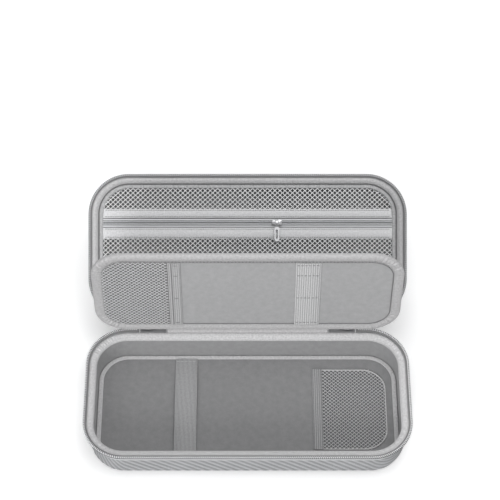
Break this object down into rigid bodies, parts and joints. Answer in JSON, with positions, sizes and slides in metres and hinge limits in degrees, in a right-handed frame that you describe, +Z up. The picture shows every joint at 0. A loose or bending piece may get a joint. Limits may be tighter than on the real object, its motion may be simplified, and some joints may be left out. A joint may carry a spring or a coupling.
{
  "type": "hard shell zip case",
  "caption": "Long rounded hard-shell zip case, open, with a fabric spine hinge, padded divider, net pockets, elastic straps and a carry handle.",
  "frame": {"origin": "centre of the flat underside of the base, on the table", "axes": "+Z up, +X to the right along the case, +Y to the back, where the lid is hinged"},
  "size_m": [0.296, 0.2667, 0.1547],
  "materials": {
    "coated_shell": "satin",
    "lining": "matte",
    "binding": "matte",
    "zip_tape": "matte",
    "zip_coil": "satin",
    "coated_trim": "satin",
    "net": "matte",
    "elastic": "matte",
    "slider_metal": "satin",
    "ring_metal": "satin",
    "pocket_metal": "gloss",
    "board": "matte"
  },
  "bodies": {
    "base": {"base_shell": "coated_shell", "base_lining": "lining", "base_rim_binding": "binding", "base_zip_tape": "zip_tape", "base_zip_teeth": "zip_coil", "base_hinge_flange": "coated_trim", "floor_board": "board", "floor_pad": "lining", "floor_binding": "binding", "floor_strap": "elastic", "floor_net": "net", "floor_net_elastic": "elastic", "divider_anchor": "lining"},
    "spine": {"spine_fabric": "lining", "hinge_cover": "coated_trim", "hinge_cover_tabs": "coated_trim", "spine_zip_tape": "zip_tape", "spine_zip_coil": "zip_coil"},
    "lid": {"lid_shell": "coated_shell", "lid_lining": "lining", "lid_rim_binding": "binding", "lid_zip_tape": "zip_tape", "lid_zip_teeth": "zip_coil", "lid_hinge_flange": "coated_trim", "lid_net_frame": "binding", "lid_net_upper": "net", "lid_net_lower": "net", "lid_band_upper": "binding", "lid_band_lower": "binding", "pocket_zip_tape": "zip_tape", "pocket_zip_coil": "zip_coil"},
    "divider": {"divider_binding": "binding", "divider_panel": "lining", "divider_net": "net", "divider_net_elastic": "elastic", "divider_strap": "elastic", "divider_hinge": "lining"},
    "handle": {"handle_grip": "coated_trim", "handle_straps": "coated_trim"},
    "slider_left": {"zip_slider_left": "slider_metal"},
    "slider_right": {"zip_slider_right": "slider_metal"},
    "pull_left": {"pull_ring_left": "ring_metal", "pull_tab_left": "coated_trim"},
    "pull_right": {"pull_ring_right": "ring_metal", "pull_tab_right": "coated_trim"},
    "pocket_slider": {"pocket_zip_slider": "pocket_metal"},
    "pocket_pull": {"pocket_zip_pull": "pocket_metal"}
  },
  "joints": [
    {"name": "spine_fold", "type": "hinge", "parent": "base", "child": "spine", "pos_m": [0, 0.065, 0.034], "axis": [1, 0, 0], "range_deg": [-12, 73]},
    {"name": "lid_fold", "type": "hinge", "parent": "spine", "child": "lid", "pos_m": [0, 0.08221, 0.03926], "axis": [1, 0, 0], "range_deg": [-12, 73]},
    {"name": "divider_swing", "type": "hinge", "parent": "base", "child": "divider", "pos_m": [0, 0.0642, 0.041], "axis": [1, 0, 0], "range_deg": [-15.54, 94]},
    {"name": "handle_swing", "type": "hinge", "parent": "spine", "child": "handle", "pos_m": [0, 0.07482, 0.03266], "axis": [1, 0, 0], "range_deg": [-12, 12], "stiffness_Nm_per_rad": 0.05},
    {"name": "slider_left_slide", "type": "slide", "parent": "spine", "child": "slider_left", "axis": [1, 0, 0], "range_m": [-0.001, 0.0075]},
    {"name": "slider_right_slide", "type": "slide", "parent": "spine", "child": "slider_right", "axis": [1, 0, 0], "range_m": [-0.0075, 0.001]},
    {"name": "pull_left_swing", "type": "hinge", "parent": "slider_left", "child": "pull_left", "pos_m": [-0.0915, 0.07504, 0.03195], "axis": [0, 0.9563, 0.2924], "range_deg": [-5, 75]},
    {"name": "pull_right_swing", "type": "hinge", "parent": "slider_right", "child": "pull_right", "pos_m": [0.0915, 0.07504, 0.03195], "axis": [0, 0.9563, 0.2924], "range_deg": [-75, 5]},
    {"name": "pocket_zip_slide", "type": "slide", "parent": "lid", "child": "pocket_slider", "axis": [1, 0, 0], "range_m": [-0.145, 0.09]},
    {"name": "pocket_pull_swing", "type": "hinge", "parent": "pocket_slider", "child": "pocket_pull", "pos_m": [0.0273, 0.15266, 0.0904], "axis": [0, 0.5592, -0.829], "range_deg": [-75, 75]}
  ],
  "couplings": [
    {"joint": "lid_fold", "follows": "spine_fold", "ratio": 1},
    {"joint": "divider_swing", "follows": "spine_fold", "ratio": 1.2863}
  ]
}
